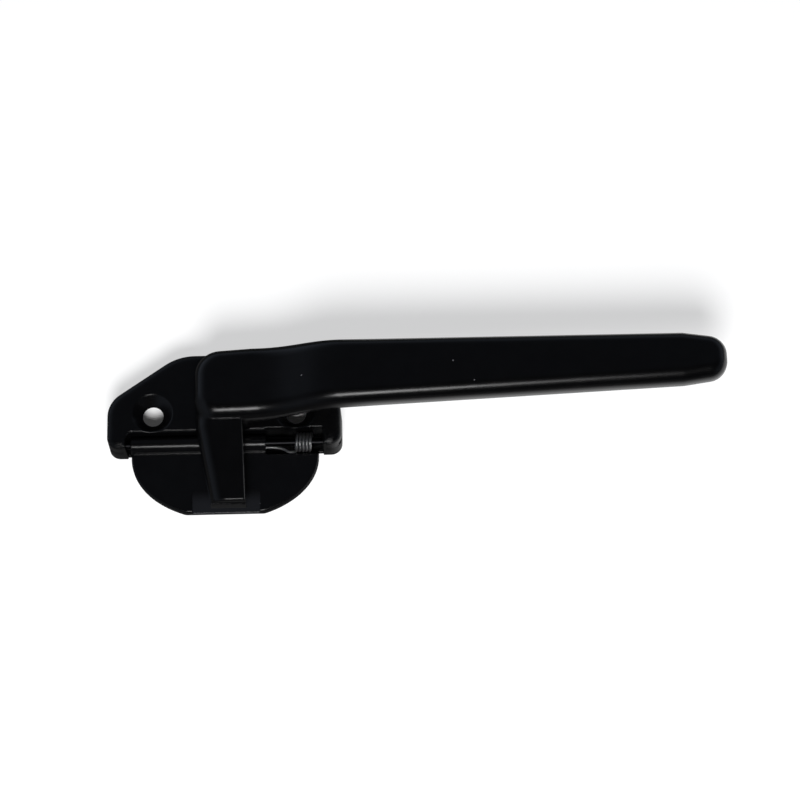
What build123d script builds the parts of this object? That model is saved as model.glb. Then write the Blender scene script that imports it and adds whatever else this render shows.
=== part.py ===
from build123d import *

import os

# Casement handle in millimetres. The origin is on the spindle axis at the mounting face of the
# base. +X runs along the lever when the handle is closed, +Y to the crown of the base, +Z away
# from the window. At rest the handle is closed: the lever points along +X, the tongue along -Y.

# Base casting, seen from the front
base_half_w = 31.1
base_foot_y = -14.3
base_shoulder_y = -1.35
base_crown_y = 11.55
base_crown_half_w = 12.3
base_t = 9.3
base_draft = 1.0
base_edge_r = 1.1
foot_corner_r = 3.0
shoulder_corner_r = 7.5
crown_corner_r = 14.0

# The bay in the foot of the base, where the flap is hinged between two ears
ear_w = 5.0
bay_top_y = -10.05
bay_corner_r = 1.8
bay_edge = 0.5
bay_floor_t = 1.2
bay_floor_step = 0.4

# The hollow back of the base
base_wall = 2.0
base_roof = 3.2
rib_x = 11.6
rib_w = 1.6

# Screw holes, countersunk from the front
screw_spacing = 38.0
screw_y = -4.8
screw_hole_r = 2.75
screw_head_r = 5.45
screw_head_angle = 90.0

# Spindle, its washers and the running fits
spindle_r = 4.0
spindle_head_r = 5.8
spindle_head_t = 1.6
spindle_depth_in_hub = 7.4
running_gap = 0.08
seat_gap = 0.3
back_recess_clearance = 0.5
back_recess_depth = 4.4
bearing_washer_r = 6.0
bearing_washer_t = 1.0
bearing_washer_proud = 0.3
flat_washer_inset = 0.3
flat_washer_t = 0.8
cone_washer_r = 6.9
cone_washer_t = 0.6
cone_washer_rise = 0.7

# Handle casting: hub, cranked lever and tongue
hub_left_x = -7.3
hub_top_y = 8.95
hub_low_y = -10.05
hub_foot_x = 9.0
hub_foot_corner_r = 3.5
hub_top_z = 20.5
hub_corner_r = 7.0
hub_low_corner_r = 5.5
crank_start_x = 8.0
crank_end_x = 32.0
crank_rise = 5.4
arm_t = 7.8
grip_t = 7.8
handle_top_r = 3.8
handle_back_r = 3.2
lever_top_y = 9.85
lever_end_top_y = 9.6
lever_end_low_y = -4.6
lever_tip_x = 132.5
lever_tip_l = 11.5
lever_tip_top_y = 7.9
lever_tip_low_y = -2.9
tip_corner_r = 5.3
neck_start_x = -1.0
neck_low_y = -8.5
tongue_root_t = 8.6
tongue_tip_t = 5.6
tongue_plate_t = 3.2
tongue_lip = 0.35
tongue_side_r = 4.3
hub_facet_x = -1.9
hub_facet_y = 0.5
hub_facet_drop = 3.3
hub_facet_foot_x = -5.5
tongue_left_x = -7.1
tongue_taper_y = -11.0
tongue_tip_left_x = -3.2
tongue_right_x = 5.2
tongue_tip_right_x = 6.0
tongue_tip_y = -31.7
tongue_edge_r = 0.6
tongue_lip_r = 0.25
tongue_root_r = 0.8

# Half-moon flap and its hinge
pin_y = -12.45
pin_z = 5.5
pin_r = 1.0
pin_end_recess = 0.8
knuckle_r = 2.25
flap_side_gap = 1.25
flap_arc_y = -15.7
flap_arc_h = 17.0
flap_end_y = -31.15
flap_end_corner_r = 3.0
flap_t = 2.2
flap_top_z = 4.6
flap_edge_r = 0.7
ramp_x = 0.3
ramp_half_w = 8.9
ramp_length = 6.2
ramp_drop = 1.0
scoop_open = 1.35

# Torsion spring on the hinge pin, and the gap beside the knuckle that shows it
spring_gap_w = 15.2
wire_r = 0.4
coil_r = 2.3
coil_turns = 4.5
coil_to_ear = 3.1
coil_pitch = 0.9
leg_out = 1.5
leg_up = 0.65
leg_depth = 1.6
leg_bend = 1.2

# Sizes that follow from those above
flat_washer_r = cone_washer_r - flat_washer_inset
back_recess_r = cone_washer_r + back_recess_clearance
spindle_boss_r = back_recess_r + base_wall
bay_half_w = base_half_w - ear_w
bay_floor_y = base_foot_y + bay_floor_step
hub_bottom_z = base_t + bearing_washer_proud
lever_end_x = lever_tip_x - lever_tip_l
arm_bottom_z = hub_top_z - arm_t
lever_top_z = hub_top_z + crank_rise
grip_bottom_z = lever_top_z - grip_t
tongue_root_z = hub_bottom_z + tongue_root_t
tongue_tip_z = hub_bottom_z + tongue_tip_t
tongue_plate_z = hub_bottom_z + tongue_plate_t
tongue_end_y = tongue_tip_y + tongue_lip
tongue_fall = (tongue_root_z - tongue_tip_z) / (hub_low_y - tongue_end_y)
screw_points = [(-screw_spacing / 2, screw_y), (screw_spacing / 2, screw_y)]
flap_half_w = bay_half_w - flap_side_gap
spring_gap_x = bay_half_w - spring_gap_w
spring_pocket_r = coil_r + wire_r + seat_gap
leg_foot_z = bay_floor_t + running_gap
flat_washer_z = back_recess_depth - cone_washer_t - cone_washer_rise - flat_washer_t
spindle_head_z = flat_washer_z - spindle_head_t
pin_axis = Axis((0, pin_y, pin_z), (1, 0, 0))
beyond = 5.0


def rim_of(faces):
    """The edges that run round a group of faces, without the edges that two of them share."""
    edges = [edge for face in faces for edge in face.edges()]
    return ShapeList([e for e in edges if sum(e.is_same(other) for other in edges) == 1])


def top_face_at(body, z):
    """The largest flat face of a body at one height."""
    level = body.faces().filter_by(Axis.Z).filter_by_position(Axis.Z, z - running_gap, z + running_gap)
    return level.sort_by(SortBy.AREA)[-1]


def in_bay(point):
    """Whether a point of the base's top edge lies on the rim of the bay."""
    return abs(point.X) < bay_half_w + 2 * bay_edge and point.Y < bay_top_y + 2 * bay_edge


def plane_through(a, b, c):
    """The plane through three points, with its normal upwards."""
    normal = (Vector(b) - Vector(a)).cross(Vector(c) - Vector(a)).normalized()
    return Plane(origin=a, z_dir=normal if normal.Z > 0 else -normal)


def save(part, label):
    """Label a finished piece and write it under its own name."""
    part.label = label
    export_step(part, f"parts/{label}.step")
    print(f"{label}: {part.volume:.0f} mm3")


os.makedirs("parts", exist_ok=True)

# Base: a shallow die casting with a sloped crown and two ears below
with BuildPart() as base:
    with BuildSketch() as base_outline:
        with BuildLine():
            Polyline(
                (-base_half_w, base_foot_y),
                (base_half_w, base_foot_y),
                (base_half_w, base_shoulder_y),
                (base_crown_half_w, base_crown_y),
                (-base_crown_half_w, base_crown_y),
                (-base_half_w, base_shoulder_y),
                close=True,
            )
        make_face()
        fillet(base_outline.vertices().group_by(Axis.Y)[0], foot_corner_r)
        for side in (-1, 1):
            shoulder = (side * base_half_w, base_shoulder_y)
            fillet(base_outline.vertices().sort_by_distance(shoulder)[0], shoulder_corner_r)
        fillet(base_outline.vertices().group_by(Axis.Y)[-1], crown_corner_r)
    extrude(amount=base_t, taper=base_draft)

    # The bay for the flap, with a thin floor at the back
    with BuildSketch(Plane.XY.offset(bay_floor_t)) as bay_outline:
        with Locations((0, bay_top_y)):
            Rectangle(
                2 * bay_half_w,
                bay_top_y - base_foot_y + beyond,
                align=(Align.CENTER, Align.MAX),
            )
        fillet(bay_outline.vertices().group_by(Axis.Y)[-1], bay_corner_r)
    extrude(amount=base_t, mode=Mode.SUBTRACT)
    with BuildSketch():
        with Locations((0, bay_floor_y)):
            Rectangle(
                2 * bay_half_w,
                bay_floor_y - base_foot_y + beyond,
                align=(Align.CENTER, Align.MAX),
            )
    extrude(amount=bay_floor_t, mode=Mode.SUBTRACT)
    rim = top_face_at(base, base_t).edges()
    chamfer(rim.filter_by(lambda e: in_bay(e.center())), bay_edge)
    rim = top_face_at(base, base_t).edges()
    fillet(rim.filter_by(lambda e: not in_bay(e.center())), base_edge_r)

    # The hollow back, with a boss round the spindle and a rib on each side of it
    with BuildSketch() as hollow:
        add(base_outline.sketch)
        with Locations((0, bay_top_y)):
            Rectangle(
                2 * base_half_w,
                bay_top_y - base_foot_y,
                align=(Align.CENTER, Align.MAX),
                mode=Mode.SUBTRACT,
            )
        offset(amount=-base_wall, kind=Kind.INTERSECTION)
        Circle(spindle_boss_r, mode=Mode.SUBTRACT)
        with Locations((-rib_x, 0), (rib_x, 0)):
            Rectangle(rib_w, 4 * base_crown_y, mode=Mode.SUBTRACT)
        Rectangle(2 * rib_x, rib_w, mode=Mode.SUBTRACT)
    extrude(amount=base_t - base_roof, mode=Mode.SUBTRACT)

    # Spindle bore, counterbored on both sides for the washers
    with Locations((0, 0, base_t)):
        CounterBoreHole(
            radius=spindle_r + running_gap,
            counter_bore_radius=bearing_washer_r + running_gap,
            counter_bore_depth=bearing_washer_t - bearing_washer_proud,
        )
    with BuildSketch():
        Circle(back_recess_r)
    extrude(amount=back_recess_depth, mode=Mode.SUBTRACT)

    # Screw holes
    with Locations(*[(x, y, base_t) for x, y in screw_points]):
        CounterSinkHole(
            radius=screw_hole_r,
            counter_sink_radius=screw_head_r,
            counter_sink_angle=screw_head_angle,
        )

    # Pocket in the wall of the bay behind the coil of the spring
    with BuildSketch(Plane.XY.offset(bay_floor_t)):
        with Locations((spring_gap_x, pin_y)):
            Rectangle(
                bay_half_w - spring_gap_x,
                spring_pocket_r,
                align=(Align.MIN, Align.MIN),
            )
    extrude(amount=base_t, mode=Mode.SUBTRACT)

    # Holes for the hinge pin, right through both ears
    with BuildSketch(Plane.YZ.offset(-base_half_w - beyond)):
        with Locations((pin_y, pin_z)):
            Circle(pin_r)
    extrude(amount=2 * (base_half_w + beyond), mode=Mode.SUBTRACT)
save(base.part, "base")

# Tongue of the handle: a thin plate under a body that slopes down to its left side, so that the
# plate shows as a lip at the tip
with BuildPart() as tongue:
    with BuildSketch(Plane.XY.offset(hub_bottom_z)) as tongue_outline:
        with BuildLine():
            Polyline(
                (tongue_left_x, hub_low_y / 2),
                (tongue_left_x, tongue_taper_y),
                (tongue_tip_left_x, tongue_tip_y),
                (tongue_tip_right_x, tongue_tip_y),
                (tongue_right_x, hub_low_y / 2),
                close=True,
            )
        make_face()
    extrude(amount=hub_top_z - hub_bottom_z)
    with BuildSketch(Plane.YZ) as tongue_profile:
        with BuildLine():
            Polyline(
                (tongue_end_y, hub_bottom_z),
                (tongue_end_y, tongue_tip_z),
                (0, tongue_root_z - tongue_fall * hub_low_y),
                (0, hub_bottom_z),
                close=True,
            )
        make_face()
    extrude(amount=beyond - tongue_left_x, both=True, mode=Mode.INTERSECT)
    slope = tongue.faces().sort_by(Axis.Z)[-1]
    fillet(slope.edges().filter_by(lambda e: e.center().X < tongue_tip_left_x), tongue_side_r)
    slope = tongue.faces().filter_by(GeomType.PLANE).sort_by(Axis.Z)[-1]
    fillet(slope.edges().filter_by(lambda e: e.center().X > 0 and e.center().Y < hub_low_y), tongue_edge_r)

    # The hollow round where its top meets the round edge of the hub
    with BuildSketch(Plane.YZ.offset(tongue_left_x + tongue_side_r)) as root_profile:
        add(tongue_profile.sketch_local)
        with Locations((hub_low_y + handle_top_r, hub_top_z - handle_top_r)):
            Circle(handle_top_r - seat_gap)
        root = root_profile.vertices().sort_by_distance((hub_low_y, tongue_root_z))[0]
        fillet(root, tongue_root_r)
        with Locations((hub_low_y, tongue_root_z)):
            Rectangle(4 * tongue_root_r, 4 * tongue_root_r, mode=Mode.INTERSECT)
    extrude(amount=tongue_right_x - tongue_left_x - tongue_side_r - tongue_edge_r)

    with BuildSketch(Plane.XY.offset(hub_bottom_z)):
        add(tongue_outline.sketch)
    extrude(amount=tongue_plate_t)
    fillet(top_face_at(tongue, tongue_plate_z).edges().sort_by(Axis.Y)[0], tongue_lip_r)

# Handle: the side view and the front view cross to make the cranked lever
with BuildPart() as handle:
    with BuildSketch(Plane.XZ) as side_view:
        with BuildLine():
            top = Spline(
                (crank_start_x, hub_top_z),
                (crank_end_x, lever_top_z),
                tangents=((1, 0), (1, 0)),
            )
            back = Spline(
                (crank_start_x, arm_bottom_z),
                (crank_end_x, grip_bottom_z),
                tangents=((1, 0), (1, 0)),
            )
            Polyline(
                top @ 0,
                (hub_left_x - beyond, hub_top_z),
                (hub_left_x - beyond, arm_bottom_z),
                back @ 0,
            )
            Polyline(
                top @ 1,
                (lever_tip_x + beyond, lever_top_z),
                (lever_tip_x + beyond, grip_bottom_z),
                back @ 1,
            )
        make_face()
    extrude(amount=lever_top_y - hub_low_y, both=True)

    with BuildSketch() as front_view:
        with BuildLine():
            neck = Spline(
                (neck_start_x, hub_low_y),
                (crank_end_x, neck_low_y),
                tangents=(
                    (1, 0),
                    (lever_end_x - crank_end_x, lever_end_low_y - neck_low_y),
                ),
            )
            Polyline(
                neck @ 1,
                (lever_end_x, lever_end_low_y),
                (lever_tip_x, lever_tip_low_y),
                (lever_tip_x, lever_tip_top_y),
                (lever_end_x, lever_end_top_y),
                (crank_start_x, lever_top_y),
                (hub_left_x, hub_top_y),
                (hub_left_x, hub_low_y),
                neck @ 0,
            )
        make_face()
        hub_end = front_view.vertices().group_by(Axis.X)[0].sort_by(Axis.Y)
        fillet(hub_end[-1], hub_corner_r)
        hub_end = front_view.vertices().group_by(Axis.X)[0].sort_by(Axis.Y)
        fillet(hub_end[0], hub_low_corner_r)
        fillet(front_view.vertices().group_by(Axis.X)[-1], tip_corner_r)
    extrude(amount=lever_top_z + beyond, mode=Mode.INTERSECT)
    fillet(rim_of(handle.faces().filter_by(lambda f: f.normal_at().Z > 0.5)), handle_top_r)
    fillet(rim_of(handle.faces().filter_by(lambda f: f.normal_at().Z < -0.5)), handle_back_r)

    # The hub goes straight down to the base
    with BuildSketch(mode=Mode.PRIVATE) as hub_foot:
        with Locations((hub_foot_x, hub_low_y)):
            Rectangle(
                hub_foot_x - hub_left_x,
                hub_top_y - hub_low_y,
                align=(Align.MAX, Align.MIN),
            )
        fillet(hub_foot.vertices().group_by(Axis.X)[-1], hub_foot_corner_r)
    with BuildSketch(Plane.XY.offset(hub_bottom_z)):
        add(hub_foot.sketch)
        add(front_view.sketch, mode=Mode.INTERSECT)
    extrude(amount=hub_top_z - handle_top_r - hub_bottom_z)

    # The hub's left corner is cut down to the flank of the tongue
    split(
        bisect_by=plane_through(
            (hub_left_x, hub_facet_y, hub_top_z),
            (hub_facet_x, hub_low_y, hub_top_z),
            (hub_facet_foot_x, hub_low_y, hub_top_z - hub_facet_drop),
        ),
        keep=Keep.BOTTOM,
    )
    add(tongue.part)

    # Blind bore for the spindle
    with BuildSketch(Plane.XY.offset(hub_bottom_z)):
        Circle(spindle_r)
    extrude(amount=spindle_depth_in_hub, mode=Mode.SUBTRACT)
save(handle.part, "handle")

# Spindle: a steel rivet, pressed into the hub and headed over its washers at the back
with BuildPart() as spindle:
    with BuildSketch(Plane.XY.offset(spindle_head_z)):
        Circle(spindle_head_r)
    extrude(amount=spindle_head_t)
    fillet(spindle.faces().sort_by(Axis.Z)[0].edges(), spindle_head_t / 2)
    with BuildSketch(Plane.XY.offset(spindle_head_z)):
        Circle(spindle_r)
    extrude(amount=hub_bottom_z + spindle_depth_in_hub - spindle_head_z)
save(spindle.part, "spindle")

# Bearing washer between the hub and the front of the base
with BuildPart() as bearing_washer:
    with BuildSketch(Plane.XY.offset(hub_bottom_z - bearing_washer_t)):
        Circle(bearing_washer_r)
        Circle(spindle_r + running_gap, mode=Mode.SUBTRACT)
    extrude(amount=bearing_washer_t)
save(bearing_washer.part, "bearing_washer")

# Flat washer under the head of the spindle
with BuildPart() as flat_washer:
    with BuildSketch(Plane.XY.offset(flat_washer_z)):
        Circle(flat_washer_r)
        Circle(spindle_r + running_gap, mode=Mode.SUBTRACT)
    extrude(amount=flat_washer_t)
save(flat_washer.part, "flat_washer")

# Cone washer: a sprung dish that keeps the handle stiff to turn
with BuildPart() as cone_washer:
    with BuildSketch(Plane.XZ):
        with BuildLine():
            Polyline(
                (spindle_r + running_gap, flat_washer_z + flat_washer_t),
                (cone_washer_r, flat_washer_z + flat_washer_t + cone_washer_rise),
                (cone_washer_r, back_recess_depth),
                (spindle_r + running_gap, back_recess_depth - cone_washer_rise),
                close=True,
            )
        make_face()
    revolve(axis=Axis.Z)
save(cone_washer.part, "cone_washer")

# Hinge pin, driven through both ears
with BuildPart() as hinge_pin:
    with BuildSketch(Plane.YZ.offset(-base_half_w + pin_end_recess)):
        with Locations((pin_y, pin_z)):
            Circle(pin_r)
    extrude(amount=2 * (base_half_w - pin_end_recess))
    chamfer(hinge_pin.edges().filter_by(GeomType.CIRCLE), pin_r / 4)
save(hinge_pin.part, "hinge_pin")

# Half-moon flap: knuckle, plate and the ramp under the tongue
with BuildPart() as flap:
    with BuildSketch(Plane.XY.offset(flap_top_z - flap_t)) as flap_outline:
        with Locations((0, flap_arc_y)):
            Ellipse(flap_half_w, flap_arc_h)
        with Locations((0, pin_y)):
            Rectangle(2 * flap_half_w, pin_y - flap_arc_y, align=(Align.CENTER, Align.MAX))
        with Locations((0, pin_y)):
            Rectangle(
                2 * flap_half_w,
                flap_arc_h,
                align=(Align.CENTER, Align.MIN),
                mode=Mode.SUBTRACT,
            )
        with Locations((0, flap_end_y)):
            Rectangle(
                2 * flap_half_w,
                flap_arc_h,
                align=(Align.CENTER, Align.MAX),
                mode=Mode.SUBTRACT,
            )
        fillet(flap_outline.vertices().group_by(Axis.Y)[0], flap_end_corner_r)
        # Beside the knuckle the plate starts in front of the coil
        with Locations((spring_gap_x, pin_y)):
            Rectangle(
                flap_half_w - spring_gap_x,
                scoop_open,
                align=(Align.MIN, Align.MAX),
                mode=Mode.SUBTRACT,
            )
    extrude(amount=flap_t)
    rim = flap.faces().sort_by(Axis.Z)[-1].edges()
    fillet(rim.filter_by(lambda e: e.center().Y < flap_arc_y), flap_edge_r)

    # The plate is scooped out round the coil of the spring
    with BuildSketch(Plane.YZ.offset(spring_gap_x)):
        with Locations((pin_y, pin_z)):
            Circle(spring_pocket_r)
    extrude(amount=flap_half_w - spring_gap_x, mode=Mode.SUBTRACT)

    # The ramp at the flap's end, a shallow wedge cut from the plate
    with BuildSketch(Plane.YZ.offset(ramp_x - ramp_half_w)):
        with BuildLine():
            Polyline(
                (flap_end_y + ramp_length, flap_top_z),
                (flap_end_y - beyond, flap_top_z - ramp_drop * (ramp_length + beyond) / ramp_length),
                (flap_end_y - beyond, flap_top_z + beyond),
                (flap_end_y + ramp_length, flap_top_z + beyond),
                close=True,
            )
        make_face()
    extrude(amount=2 * ramp_half_w, mode=Mode.SUBTRACT)

    # The knuckle, along the left of the bay
    with BuildSketch(Plane.YZ.offset(-flap_half_w)):
        with Locations((pin_y, pin_z)):
            Circle(knuckle_r)
    extrude(amount=flap_half_w + spring_gap_x)
    with BuildSketch(Plane.YZ.offset(-flap_half_w)):
        with Locations((pin_y, pin_z)):
            Circle(pin_r + running_gap / 2)
    extrude(amount=flap_half_w + spring_gap_x, mode=Mode.SUBTRACT)

    # Hole in the end of the knuckle for the leg of the spring
    with BuildSketch(Plane.YZ.offset(spring_gap_x)):
        with Locations((pin_y - leg_out, pin_z + leg_up)):
            Circle(wire_r + running_gap)
    extrude(amount=-leg_depth - wire_r, mode=Mode.SUBTRACT)
save(flap.part, "flap")

# Torsion spring: a close coil round the pin. One leg runs along the hinge into a hole in the end
# of the knuckle, the other turns down behind the coil against the base
coil_start_x = bay_half_w - coil_to_ear - coil_turns * coil_pitch
with BuildPart() as flap_spring:
    with BuildLine() as spring_path:
        coil = Helix(
            pitch=coil_pitch,
            height=coil_turns * coil_pitch,
            radius=coil_r,
            center=(coil_start_x, pin_y, pin_z),
            direction=(1, 0, 0),
            lefthand=True,
            mode=Mode.PRIVATE,
        ).rotate(pin_axis, 90)
        add(coil)
        near_leg = Line(
            (spring_gap_x - leg_depth, pin_y - leg_out, pin_z + leg_up),
            (spring_gap_x + wire_r, pin_y - leg_out, pin_z + leg_up),
        )
        Spline(
            near_leg @ 1,
            (coil_start_x - leg_bend, pin_y - coil_r, pin_z - leg_bend),
            coil @ 0,
            tangents=[near_leg % 1, coil % 0],
        )
        Line(coil @ 1, coil @ 1 + Vector(0, 0, leg_foot_z - pin_z))
    with BuildSketch(Plane(origin=near_leg @ 0, z_dir=near_leg % 0)):
        Circle(wire_r)
    sweep(path=spring_path.wires()[0])
save(flap_spring.part, "flap_spring")
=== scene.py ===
# %% [markdown]
# # Casement handle
#
# This handle closes a hinged window. Its base is screwed on, a cranked lever turns on the base, and
# the tongue under the lever pulls the window shut. A half-moon flap hangs on a pin at the foot of
# the base, with a torsion spring beside it.
#
# The imported model has every piece in its place already. This lesson gives each piece its finish,
# makes a copy of the spring as one skin, and sets up the paper, the lamps and the camera of the
# photograph.

from math import cos, radians, sin

import bmesh
import bpy
from mathutils import Matrix, Vector


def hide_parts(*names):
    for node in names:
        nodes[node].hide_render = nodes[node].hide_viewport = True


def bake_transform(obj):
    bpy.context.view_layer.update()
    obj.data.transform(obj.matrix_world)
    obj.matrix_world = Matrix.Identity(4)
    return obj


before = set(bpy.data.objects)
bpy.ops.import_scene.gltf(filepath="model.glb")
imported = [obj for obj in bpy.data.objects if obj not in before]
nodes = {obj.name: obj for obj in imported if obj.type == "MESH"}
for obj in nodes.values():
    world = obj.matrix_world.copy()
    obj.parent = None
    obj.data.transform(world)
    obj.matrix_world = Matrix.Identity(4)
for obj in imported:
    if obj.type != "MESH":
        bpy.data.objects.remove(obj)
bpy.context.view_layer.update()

# %% [markdown]
# ## Helpers for shader nodes
#
# A material in Blender is a small machine of nodes. To build one in code takes the same few moves
# again and again: a sum, a smooth fade, a place on the piece, a noise. Each move gets a helper
# here, so the cells below read like a recipe. The patterns use Object coordinates, which stay with
# a piece when a joint moves it.

# %% Helpers for sums, fades and places
MM = 0.001


def math_node(tree, operation, *values):
    """A Math node whose inputs are sockets or numbers."""
    node = tree.nodes.new("ShaderNodeMath")
    node.operation = operation
    for socket, value in zip(node.inputs, values):
        if isinstance(value, (int, float)):
            socket.default_value = value
        else:
            tree.links.new(value, socket)
    return node.outputs[0]


def smooth_step(tree, value, start, end, low=0.0, high=1.0):
    """A value that goes smoothly from low, at start, to high, at end."""
    step = tree.nodes.new("ShaderNodeMapRange")
    step.interpolation_type = "SMOOTHSTEP"
    step.inputs["From Min"].default_value = start
    step.inputs["From Max"].default_value = end
    step.inputs["To Min"].default_value = low
    step.inputs["To Max"].default_value = high
    tree.links.new(value, step.inputs["Value"])
    return step.outputs[0]


def object_place(tree):
    """The X, Y and Z of a point on the piece, as three sockets."""
    coords = tree.nodes.new("ShaderNodeTexCoord")
    place = tree.nodes.new("ShaderNodeSeparateXYZ")
    tree.links.new(coords.outputs["Object"], place.inputs[0])
    return place.outputs


print("1 mm is", MM, "m")

# %% Helpers for noises and tones


def noise_node(tree, scale, detail=2.0, roughness=0.5):
    """A noise over the piece, with scale as its number of cells in a metre."""
    coords = tree.nodes.new("ShaderNodeTexCoord")
    noise = tree.nodes.new("ShaderNodeTexNoise")
    noise.inputs["Scale"].default_value = scale
    noise.inputs["Detail"].default_value = detail
    noise.inputs["Roughness"].default_value = roughness
    tree.links.new(coords.outputs["Object"], noise.inputs["Vector"])
    return noise.outputs["Fac"]


def tone_ramp(tree, factor, dark, light, bounds=(0.0, 1.0)):
    """A colour that goes from dark to light as the factor crosses its bounds."""
    ramp = tree.nodes.new("ShaderNodeValToRGB")
    for element, bound, colour in zip(ramp.color_ramp.elements, bounds, (dark, light)):
        element.position = bound
        element.color = list(colour) + [1.0]
    tree.links.new(factor, ramp.inputs["Fac"])
    return ramp.outputs["Color"]


def paint_over(tree, mask, under, colour):
    """One colour laid over another where the mask is 1."""
    mix = tree.nodes.new("ShaderNodeMix")
    mix.data_type = "RGBA"
    mix.inputs[7].default_value = list(colour) + [1.0]
    tree.links.new(mask, mix.inputs[0])
    tree.links.new(under, mix.inputs[6])
    return mix.outputs[2]


def new_group(name, inputs, outputs):
    """A shader node group with float inputs {name: default} and float outputs [names]."""
    group = bpy.data.node_groups.new(name, "ShaderNodeTree")
    for label, default in inputs.items():
        socket = group.interface.new_socket(label, in_out="INPUT", socket_type="NodeSocketFloat")
        socket.default_value = default
    for label in outputs:
        group.interface.new_socket(label, in_out="OUTPUT", socket_type="NodeSocketFloat")
    return group, group.nodes.new("NodeGroupInput"), group.nodes.new("NodeGroupOutput")


def new_material(name):
    """An empty material, its node tree and its Principled shader."""
    material = bpy.data.materials.new(name)
    material.use_nodes = True
    return material, material.node_tree, material.node_tree.nodes["Principled BSDF"]


print("helpers ready")

# %% [markdown]
# ## Orange peel
#
# Powder coat melts in an oven and sets with a faint ripple, like the skin of an orange. It could be
# sculpted into the mesh, but the ripples are far smaller than the triangles. Two noises added give
# the same broken highlights. All castings use them, so they live in one group.

# %% The group for the ripple of the coat
PEEL_COARSE = 900.0
PEEL_FINE = 3200.0
PEEL_FINE_SHARE = 0.5

peel, peel_in, peel_out = new_group("orange_peel", {"Size": 1.0}, ["Height"])
coarse = noise_node(peel, PEEL_COARSE, detail=2.0)
fine = math_node(peel, "MULTIPLY", noise_node(peel, PEEL_FINE, detail=1.0), PEEL_FINE_SHARE)
ripple = math_node(peel, "ADD", coarse, fine)
height = math_node(peel, "MULTIPLY", ripple, peel_in.outputs["Size"])
peel.links.new(height, peel_out.inputs["Height"])
print("orange peel has", len(peel.nodes), "nodes")

# %% [markdown]
# ## Dust
#
# A few pale specks of dust lie on the upper faces. They could be small meshes, but a Voronoi
# texture does it with less: it scatters one point in each of its cells, and the ground close to a
# point is a speck. A draw for each cell leaves out about half of them, and faces that don't look up
# stay clean.

# %% The group for specks of dust
SPECK_CELLS = 75.0
SPECK_LEFT_OUT = 0.55
SPECK_FLATNESS = 0.9

specks, specks_in, specks_out = new_group("dust_specks", {"Size": 0.012, "Up": 1.0}, ["Mask"])
coords = specks.nodes.new("ShaderNodeTexCoord")
cells = specks.nodes.new("ShaderNodeTexVoronoi")
cells.voronoi_dimensions = "2D"
cells.inputs["Scale"].default_value = SPECK_CELLS
specks.links.new(coords.outputs["Object"], cells.inputs["Vector"])
draw = specks.nodes.new("ShaderNodeSeparateColor")
specks.links.new(cells.outputs["Color"], draw.inputs[0])
close = math_node(specks, "LESS_THAN", cells.outputs["Distance"], specks_in.outputs["Size"])
drawn = math_node(specks, "GREATER_THAN", draw.outputs[0], SPECK_LEFT_OUT)
flat = math_node(specks, "GREATER_THAN", specks_in.outputs["Up"], SPECK_FLATNESS)
mask = math_node(specks, "MULTIPLY", math_node(specks, "MULTIPLY", close, drawn), flat)
specks.links.new(mask, specks_out.inputs["Mask"])
print("dust specks have", len(specks.nodes), "nodes")

# %% [markdown]
# ## Rounds in the shading
#
# The coat fills small corners, so its edges catch the light as soft lines. The Bevel node bends the
# normal near an edge as if the edge were round, and leaves the mesh alone. That suits a packed
# model, whose mesh must not change. Where two places of one piece need unlike rounds, a mask mixes
# the two normals.

# %% Normals of rounded edges


def rounded_normal(tree, radius):
    """The surface normal with its edges rounded by a radius."""
    bevel = tree.nodes.new("ShaderNodeBevel")
    bevel.samples = 8
    bevel.inputs["Radius"].default_value = radius
    return bevel.outputs["Normal"]


def mix_normals(tree, mask, first, second):
    """The first normal where the mask is 0, the second where it is 1."""
    mix = tree.nodes.new("ShaderNodeMix")
    mix.data_type = "VECTOR"
    mix.clamp_factor = True
    tree.links.new(mask, mix.inputs[0])
    tree.links.new(first, mix.inputs[4])
    tree.links.new(second, mix.inputs[5])
    return mix.outputs[1]


print("normal helpers ready")

# %% [markdown]
# ## Powder coat
#
# The castings are coated satin black. In the photograph the coat mirrors a dark room: its colour is
# almost black, and most of what shows is gloss. A plain black material could do it, but an even
# black looks like plastic, so the colour is mottled a little and the roughness drifts. One function
# builds the coat, and each casting gives it its own edges.

# %% The coat
BLACK = (0.001, 0.001, 0.00115)
MOTTLE_SCALE = 260.0
MOTTLE_BOUNDS = (0.35, 0.7)
MOTTLE_DARK = 0.85
MOTTLE_LIGHT = 1.15
SMEAR_SCALE = 120.0
SMEAR_SPREAD = 0.08
SPECK_SIZE = 0.014
SPECK_COLOUR = (0.07, 0.07, 0.075)
# Painted sheen: the paler colour of the flap's ramp, standing for the light its slope catches
RAMP_SHEEN_COLOUR = (0.0058, 0.0062, 0.0075)
PEEL_STRENGTH = 0.1
PEEL_DEPTH = 0.02 * MM


def coat_colour(tree, colour, painted_sheen):
    """The mottled black, with its dust and, where a piece has one, its painted sheen."""
    mottle = noise_node(tree, MOTTLE_SCALE, detail=4.0, roughness=0.6)
    finish = tone_ramp(tree, mottle, [c * MOTTLE_DARK for c in colour],
                       [c * MOTTLE_LIGHT for c in colour], MOTTLE_BOUNDS)
    surface = tree.nodes.new("ShaderNodeNewGeometry")
    facing = tree.nodes.new("ShaderNodeSeparateXYZ")
    tree.links.new(surface.outputs["Normal"], facing.inputs[0])
    dust = tree.nodes.new("ShaderNodeGroup")
    dust.node_tree = specks
    dust.inputs["Size"].default_value = SPECK_SIZE
    tree.links.new(facing.outputs["Z"], dust.inputs["Up"])
    finish = paint_over(tree, dust.outputs["Mask"], finish, SPECK_COLOUR)
    # A piece may lay a painted sheen over its black
    if painted_sheen:
        finish = paint_over(tree, painted_sheen(tree), finish, RAMP_SHEEN_COLOUR)
    return finish


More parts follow.
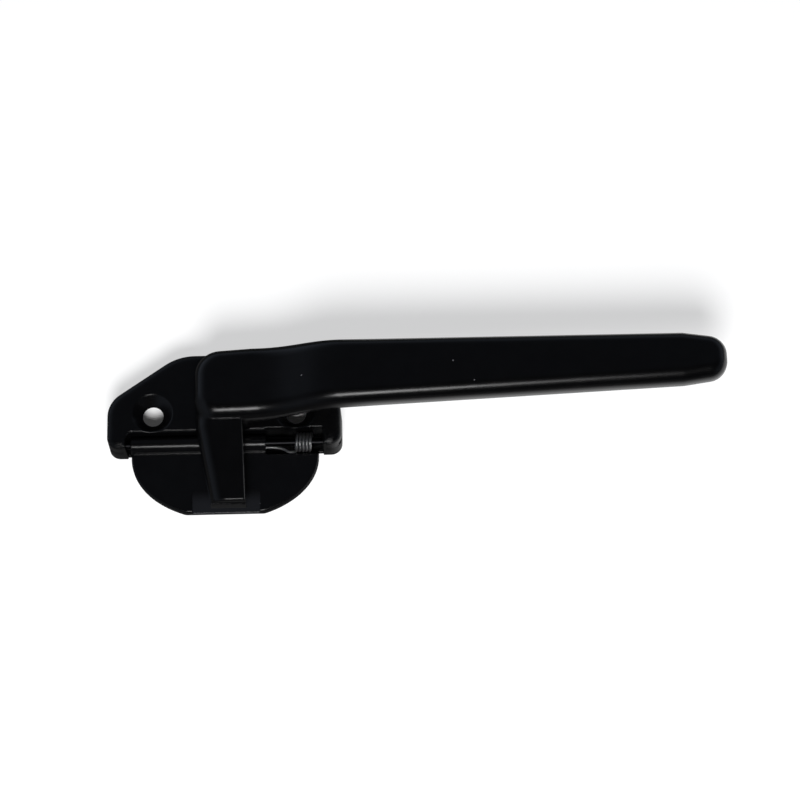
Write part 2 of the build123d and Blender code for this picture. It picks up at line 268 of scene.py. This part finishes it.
def powder_coat(name, colour, roughness, edges, painted_sheen=None):
    """The satin black coat, with a function for its edges and one for its painted sheen."""
    material, tree, shader = new_material(name)
    shader.inputs["Metallic"].default_value = 0.0
    shader.inputs["IOR"].default_value = 1.5
    tree.links.new(coat_colour(tree, colour, painted_sheen), shader.inputs["Base Color"])

    smear = noise_node(tree, SMEAR_SCALE, detail=3.0)
    spread = math_node(tree, "MULTIPLY_ADD", smear, SMEAR_SPREAD, roughness - SMEAR_SPREAD / 2)
    tree.links.new(spread, shader.inputs["Roughness"])

    skin = tree.nodes.new("ShaderNodeGroup")
    skin.node_tree = peel
    relief = tree.nodes.new("ShaderNodeBump")
    relief.inputs["Strength"].default_value = PEEL_STRENGTH
    relief.inputs["Distance"].default_value = PEEL_DEPTH
    tree.links.new(skin.outputs["Height"], relief.inputs["Height"])
    tree.links.new(edges(tree), relief.inputs["Normal"])
    tree.links.new(relief.outputs["Normal"], shader.inputs["Normal"])
    print(name, "has", len(tree.nodes), "nodes")
    return material


print("coat ready")

# %% [markdown]
# ## Base
#
# The base is a die casting with a wide soft rim round its outside. In the photograph this rim is
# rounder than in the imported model, so the shading rounds it by 3 mm. The edges of the bay and of
# the countersunk holes are crisp on the real piece, so a mask keeps them so.

# %% The base's coat
BASE_RIM_RADIUS = 3.0 * MM
BASE_CRISP_RADIUS = 0.6 * MM
BAY_HALF_WIDTH = 26.9 * MM
BAY_TOP = -6.5 * MM
HOLE_X = 19.0 * MM
HOLE_Y = -4.8 * MM
HOLE_REACH = 6.3 * MM


def square_from_hole(tree, place, row_y):
    """The square of the distance to the nearer of two holes, which lie in a row at row_y."""
    aside = math_node(tree, "SUBTRACT", math_node(tree, "ABSOLUTE", place["X"]), HOLE_X)
    along = math_node(tree, "SUBTRACT", place["Y"], row_y)
    return math_node(tree, "ADD", math_node(tree, "MULTIPLY", aside, aside),
                     math_node(tree, "MULTIPLY", along, along))


def base_edges(tree):
    """The base's normal: soft at the rim, crisp in the bay and at the screw holes."""
    place = object_place(tree)
    between = math_node(tree, "LESS_THAN", math_node(tree, "ABSOLUTE", place["X"]), BAY_HALF_WIDTH)
    below = math_node(tree, "LESS_THAN", place["Y"], BAY_TOP)
    in_bay = math_node(tree, "MULTIPLY", between, below)
    in_hole = math_node(tree, "LESS_THAN", square_from_hole(tree, place, HOLE_Y), HOLE_REACH ** 2)
    keep = math_node(tree, "MAXIMUM", in_bay, in_hole)
    return mix_normals(tree, keep, rounded_normal(tree, BASE_RIM_RADIUS),
                       rounded_normal(tree, BASE_CRISP_RADIUS))


base_coat = powder_coat("black_powder_coat_base", BLACK, roughness=0.25, edges=base_edges)

# %% [markdown]
# ## Handle
#
# Hub, crank, lever and tongue are one casting. Its corner between the hub and the tongue is cut off
# flat, and a flat face in gloss paint mirrors a lamp as a hard disc. The real corner is softer. A
# wider round near that one spot breaks the disc up, and the rest keeps its narrow edges.

# %% The handle's coat
HANDLE_EDGE_RADIUS = 0.8 * MM
HUB_FACET = (-5.4 * MM, -6.4 * MM, 19.0 * MM)
HUB_FACET_RADIUS = 2.6 * MM
HUB_FACET_REACH = 5.0 * MM


def handle_edges(tree):
    """The handle's normal, rounded further around the facet of the hub."""
    coords = tree.nodes.new("ShaderNodeTexCoord")
    apart = tree.nodes.new("ShaderNodeVectorMath")
    apart.operation = "DISTANCE"
    apart.inputs[1].default_value = HUB_FACET
    tree.links.new(coords.outputs["Object"], apart.inputs[0])
    away = smooth_step(tree, apart.outputs["Value"], 0.7 * HUB_FACET_REACH, HUB_FACET_REACH)
    return mix_normals(tree, away, rounded_normal(tree, HUB_FACET_RADIUS),
                       rounded_normal(tree, HANDLE_EDGE_RADIUS))


handle_coat = powder_coat("black_powder_coat", BLACK, roughness=0.24, edges=handle_edges)

# %% [markdown]
# ## Flap
#
# The flap is a thin casting, so its edges are narrower. The tongue slides over the ramp at its end
# each time the handle is turned. That band is paler because its slope catches more light, so it gets
# a painted sheen: a paler colour that a mask on X and Y picks out, and that fades in along the slope.

# %% The flap's coat
FLAP_BLACK = (0.0012, 0.0012, 0.0014)
FLAP_EDGE_RADIUS = 0.5 * MM
RAMP_MIDDLE_X = 0.3 * MM
RAMP_HALF_WIDTH = 8.9 * MM
# Where the painted sheen on the ramp starts and where it is full
SHEEN_START_Y = -24.6 * MM
SHEEN_FULL_Y = -29.0 * MM


def flap_edges(tree):
    """The flap's normal, with narrow rounded edges."""
    return rounded_normal(tree, FLAP_EDGE_RADIUS)


def ramp_sheen_mask(tree):
    """The mask of the painted sheen on the ramp that the tongue slides over."""
    place = object_place(tree)
    off_middle = math_node(tree, "SUBTRACT", place["X"], RAMP_MIDDLE_X)
    on_ramp = math_node(tree, "LESS_THAN", math_node(tree, "ABSOLUTE", off_middle),
                        RAMP_HALF_WIDTH)
    down_slope = smooth_step(tree, place["Y"], SHEEN_START_Y, SHEEN_FULL_Y)
    return math_node(tree, "MULTIPLY", on_ramp, down_slope)


flap_coat = powder_coat("black_powder_coat_flap", FLAP_BLACK, roughness=0.24, edges=flap_edges,
                        painted_sheen=ramp_sheen_mask)

# %% [markdown]
# ## Steel and nylon
#
# The spindle and the flat washer are zinc plated, the spring and the cone washer are bare spring
# steel, and the hinge pin is painted near black: painted shade, for the dark lever and room that it
# mirrors. Steel is a full metal, and drawing leaves fine marks in it, so one noise moves both its
# tone and its roughness. The bearing washer is plain dull nylon.

# %% Steel and nylon
MARK_SCALE = 1500.0
MARK_SPREAD = 0.15
MARK_SMOOTHER = 0.07
MARK_DARK = 0.8
MARK_LIGHT = 1.1
NYLON_GRAIN = 2000.0


def wire_steel(name, colour, roughness):
    """Steel with faint drawing marks."""
    material, tree, shader = new_material(name)
    shader.inputs["Metallic"].default_value = 1.0
    marks = noise_node(tree, MARK_SCALE, detail=3.0)
    tone = tone_ramp(tree, marks, [c * MARK_DARK for c in colour],
                     [c * MARK_LIGHT for c in colour])
    tree.links.new(tone, shader.inputs["Base Color"])
    spread = math_node(tree, "MULTIPLY_ADD", marks, MARK_SPREAD, roughness - MARK_SMOOTHER)
    tree.links.new(spread, shader.inputs["Roughness"])
    return material


def plain_nylon(name):
    """Dull black nylon."""
    material, tree, shader = new_material(name)
    grain = noise_node(tree, NYLON_GRAIN, detail=2.0)
    tone = tone_ramp(tree, grain, (0.02, 0.02, 0.02), (0.035, 0.035, 0.035))
    tree.links.new(tone, shader.inputs["Base Color"])
    shader.inputs["Roughness"].default_value = 0.6
    return material


bright_steel = wire_steel("zinc_plated_steel", (0.55, 0.55, 0.56), roughness=0.3)
spring_steel = wire_steel("spring_wire", (0.5, 0.5, 0.5), roughness=0.42)
# Painted shade: the hinge pin's steel is painted near black for the dark it mirrors
pin_steel_painted_dark = wire_steel("pin_steel_painted_shade", (0.02, 0.02, 0.022), roughness=0.35)
nylon = plain_nylon("nylon")
print("steels and nylon made")

# %% Give each piece its finish
finish_of = {
    "base": base_coat,
    "handle": handle_coat,
    "flap": flap_coat,
    "spindle": bright_steel,
    "flat_washer": bright_steel,
    "hinge_pin": pin_steel_painted_dark,
    "cone_washer": spring_steel,
    "flap_spring": spring_steel,
    "bearing_washer": nylon,
}
for name, material in finish_of.items():
    nodes[name].data.materials.clear()
    nodes[name].data.materials.append(material)
print("dressed", sorted(finish_of))

# %% [markdown]
# ## Spring
#
# One leg of the spring sits in the knuckle of the flap and the other stands on the base, so the
# coil twists when the flap turns. A stiff piece would pull its leg out of the knuckle. The script
# makes a copy of the imported spring and hides the imported one. The imported mesh is loose
# triangles, so the copy's points are merged into one skin.

# %% A copy of the spring as one skin
MERGE_WITHIN = 0.001 * MM

wire = bmesh.new()
wire.from_mesh(nodes["flap_spring"].data)
bmesh.ops.remove_doubles(wire, verts=wire.verts, dist=MERGE_WITHIN)
for face in wire.faces:
    face.smooth = True
wire_mesh = bpy.data.meshes.new("twisting_spring")
wire.to_mesh(wire_mesh)
wire.free()
twisting_spring = bpy.data.objects.new("twisting_spring", wire_mesh)
bpy.context.scene.collection.objects.link(twisting_spring)
wire_mesh.materials.append(spring_steel)
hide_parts("flap_spring")
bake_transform(twisting_spring)
print("spring", len(wire_mesh.vertices), "points")

# %% [markdown]
# ## Paper
#
# The handle lies on a sheet of white paper. A real sheet lit to pure white would throw so much
# light back that the black coat turned grey. Here the camera sees a paper that glows just enough to
# look white and still takes a shadow, while the coat sees only part of it. Light Path tells the
# material which ray is asking.

# %% The sheet
FLOOR_HALF = 3.0
FLOOR_DROP = 0.3 * MM

floor_mesh = bpy.data.meshes.new("floor")
shape = bmesh.new()
bmesh.ops.create_grid(shape, x_segments=1, y_segments=1, size=FLOOR_HALF)
shape.to_mesh(floor_mesh)
shape.free()
floor = bpy.data.objects.new("floor", floor_mesh)
# A hair below the back of the base, so that the two faces don't flicker
floor.location.z = -FLOOR_DROP
bpy.context.scene.collection.objects.link(floor)
print("floor", 2 * FLOOR_HALF, "m wide")

# %% [markdown]
# The coat's gloss sees only part of the sheet. Two fades along Y and X paint what it sees: a painted
# reflection of all of the sheet beside the lever, and painted shade beyond it and beside the base and
# the flap, where the sheet is next to black in the gloss, so that their walls stay dark.

# %% What is white to whom
PAPER_NEAR = 20 * MM
PAPER_FAR = 80 * MM
MIRROR_SHADE_BEYOND = 0.02
LEVER_FROM = 26 * MM
LEVER_FULL = 43 * MM
MIRROR_SHADE_BESIDE_BASE = 0.03

floor_paint = bpy.data.materials.new("floor_paint")
floor_paint.use_nodes = True
tree = floor_paint.node_tree
tree.nodes.remove(tree.nodes["Principled BSDF"])
place = object_place(tree)
# Painted reflection and painted shade: how bright the sheet is in the coat's gloss, by place
off_lever = math_node(tree, "ABSOLUTE", place["Y"])
painted_mirror_fade_y = smooth_step(tree, off_lever, PAPER_NEAR, PAPER_FAR, 1.0, MIRROR_SHADE_BEYOND)
painted_mirror_fade_x = smooth_step(tree, place["X"], LEVER_FROM, LEVER_FULL, MIRROR_SHADE_BESIDE_BASE, 1.0)
path = tree.nodes.new("ShaderNodeLightPath")
mirrored = math_node(tree, "MAXIMUM", path.outputs["Is Glossy Ray"],
                     path.outputs["Is Transmission Ray"])
in_mirror = math_node(tree, "MULTIPLY", mirrored,
                      math_node(tree, "MULTIPLY", painted_mirror_fade_y, painted_mirror_fade_x))
white = math_node(tree, "MAXIMUM", path.outputs["Is Camera Ray"], in_mirror)
print("sheet mirrored to", PAPER_FAR, "m")

# %% [markdown]
# Through the screw holes the camera sees paper deep in shadow. The glow would lift it to white, so
# it is held back under the base. A trace of it is left there as painted light, more under the open
# hole than under the one that the lever covers, whose paper gets painted shade.

# %% Paint of the sheet
GLOW_SHARE = 0.6
HOLE_SPOT_Y = -2 * MM
HOLE_SPOT_REACH = 6 * MM
# Painted light under the open hole, and less of it as painted shade under the lever's hole
OPEN_HOLE_PAINTED_LIGHT = 0.035
SHADED_HOLE_PAINTED_LIGHT = 0.008

paper = tree.nodes.new("ShaderNodeBsdfDiffuse")
paper.inputs["Color"].default_value = (0.9, 0.9, 0.9, 1.0)
glowing = tree.nodes.new("ShaderNodeEmission")
glowing.inputs["Strength"].default_value = 1.0
dark = tree.nodes.new("ShaderNodeBsdfDiffuse")
dark.inputs["Color"].default_value = (0.03, 0.03, 0.03, 1.0)

outside = math_node(tree, "GREATER_THAN", square_from_hole(tree, place, HOLE_SPOT_Y),
                    HOLE_SPOT_REACH ** 2)
open_hole = math_node(tree, "LESS_THAN", place["X"], 0.0)
# Painted light under the base: more glow under the open hole, less under the shaded one
painted_hole_light = math_node(tree, "MULTIPLY_ADD", open_hole, OPEN_HOLE_PAINTED_LIGHT, SHADED_HOLE_PAINTED_LIGHT)
share = math_node(tree, "MAXIMUM", math_node(tree, "MULTIPLY", outside, GLOW_SHARE), painted_hole_light)


def mix_shaders(factor, first, second):
    """The first shader of the floor where the factor is 0, the second where it is 1."""
    mix = tree.nodes.new("ShaderNodeMixShader")
    tree.links.new(factor, mix.inputs["Fac"])
    tree.links.new(first.outputs[0], mix.inputs[1])
    tree.links.new(second.outputs[0], mix.inputs[2])
    return mix


lit = mix_shaders(share, paper, glowing)
choice = mix_shaders(white, dark, lit)
tree.links.new(choice.outputs[0], tree.nodes["Material Output"].inputs["Surface"])
floor.data.materials.append(floor_paint)
print("floor_paint has", len(tree.nodes), "nodes")

# %% [markdown]
# ## Light
#
# Black gloss shows the room more than the lamps. The room is dark, with a pale blue glow low down
# behind the handle and on both sides, and a faint even one over all that lies behind. The world
# paints these glows from the direction of a ray: each one is a fade across, times a fade in height,
# times a strength. Along Z a direction runs from 0 at the horizon to 1 right overhead, and along X
# from -1 on the left to 1 on the right.

# %% The room
world = bpy.data.worlds.new("studio")
bpy.context.scene.world = world
world.use_nodes = True
tree = world.node_tree
direction = tree.nodes.new("ShaderNodeTexCoord")
ray = tree.nodes.new("ShaderNodeSeparateXYZ")
tree.links.new(direction.outputs["Generated"], ray.inputs[0])

behind = smooth_step(tree, ray.outputs["Y"], -0.2, 0.6)
back_half = smooth_step(tree, ray.outputs["Y"], -0.1, 0.3)
left = smooth_step(tree, ray.outputs["X"], 0.0, -0.7)
right = smooth_step(tree, ray.outputs["X"], 0.35, 0.9)
low_down = smooth_step(tree, ray.outputs["Z"], 0.65, 0.0)
up_high = smooth_step(tree, ray.outputs["Z"], 0.93, 0.6)
mid_low = smooth_step(tree, ray.outputs["Z"], 0.7, 0.4)

ROOM_GLOW = 0.004
BACK_HALF_GLOW = 0.05
glows = [
    (behind, low_down, 0.2),
    (left, up_high, 0.09),
    (left, mid_low, 0.1),
    (right, mid_low, 0.15),
]
glow = math_node(tree, "MULTIPLY_ADD", back_half, BACK_HALF_GLOW, ROOM_GLOW)
for side, level, strength in glows:
    spot = math_node(tree, "MULTIPLY", math_node(tree, "MULTIPLY", side, level), strength)
    glow = math_node(tree, "ADD", glow, spot)
tree.links.new(glow, tree.nodes["Background"].inputs["Strength"])
tree.nodes["Background"].inputs["Color"].default_value = (0.72, 0.82, 1.0, 1.0)
print("room has", len(glows) + 1, "glows")

# %% [markdown]
# The key lamp is small and weak. It leans towards the foot and draws the thin bright lines on the
# lower shoulders of the lever and on the knuckle. The fill is wider and far stronger: it lights the
# paper and throws the soft shadow up and behind. The photograph's coat doesn't mirror such a lamp,
# so the fill is hidden from the gloss.

# %% The lamps
KEY_LEAN = radians(38.5)
KEY_SIDE = -0.02
LAMP_AIM = Vector((0.03, 0.0, 0.01))


def soft_light(name, towards, distance, size, power):
    """A round lamp that looks at the handle from a direction."""
    data = bpy.data.lights.new(name, "AREA")
    data.shape = "DISK"
    data.size = size
    data.energy = power
    lamp = bpy.data.objects.new(name, data)
    lamp.location = LAMP_AIM + Vector(towards).normalized() * distance
    lamp.rotation_euler = (LAMP_AIM - lamp.location).to_track_quat("-Z", "Y").to_euler()
    bpy.context.scene.collection.objects.link(lamp)
    print(name, "at", list(lamp.location))
    return lamp


soft_light("key", (KEY_SIDE, -sin(KEY_LEAN), cos(KEY_LEAN)), distance=0.9, size=0.24, power=1.6)
fill = soft_light("fill", (0.0, -0.95, 1.0), distance=1.2, size=0.5, power=24.0)
fill.visible_glossy = False

# %% [markdown]
# ## Camera
#
# The camera was fitted to the photograph: the screw holes, the ends of the lever and the ears give
# its scale, its lean towards the foot and a slight roll. It stands 0.7 m from the face of the base,
# and its lens follows from how many pixels a millimetre takes there.

# %% The camera
IMAGE_PX = 800.0
SENSOR_MM = 36.0
PX_PER_MM = 3.763
CAMERA_LEAN = radians(20.0)
CAMERA_ROLL = 0.0217
CAMERA_DISTANCE = 0.7
AIM_ACROSS = 46.73 * MM
AIM_UP = 0.79 * MM
FACE_HEIGHT = 9.3 * MM

view_back = Vector((0, -sin(CAMERA_LEAN), cos(CAMERA_LEAN)))
view_up = Vector((0, cos(CAMERA_LEAN), sin(CAMERA_LEAN)))
view_right = Vector((1, 0, 0))
camera_right = view_right * cos(CAMERA_ROLL) - view_up * sin(CAMERA_ROLL)
camera_up = view_right * sin(CAMERA_ROLL) + view_up * cos(CAMERA_ROLL)
stand_back = FACE_HEIGHT * cos(CAMERA_LEAN) + CAMERA_DISTANCE
stand = view_right * AIM_ACROSS + view_up * AIM_UP + view_back * stand_back

camera_data = bpy.data.cameras.new("camera")
camera_data.sensor_width = SENSOR_MM
camera_data.lens = PX_PER_MM / MM * CAMERA_DISTANCE / IMAGE_PX * SENSOR_MM
camera = bpy.data.objects.new("camera", camera_data)
bpy.context.scene.collection.objects.link(camera)
turn = Matrix((camera_right, camera_up, view_back)).transposed().to_4x4()
camera.matrix_world = Matrix.Translation(stand) @ turn
bpy.context.scene.camera = camera
print("camera", list(stand), "lens", camera_data.lens)

# %% [markdown]
# ## Finish
#
# The Standard view shows a colour about as it is written.

# %% The view transform
bpy.context.scene.view_settings.view_transform = "Standard"
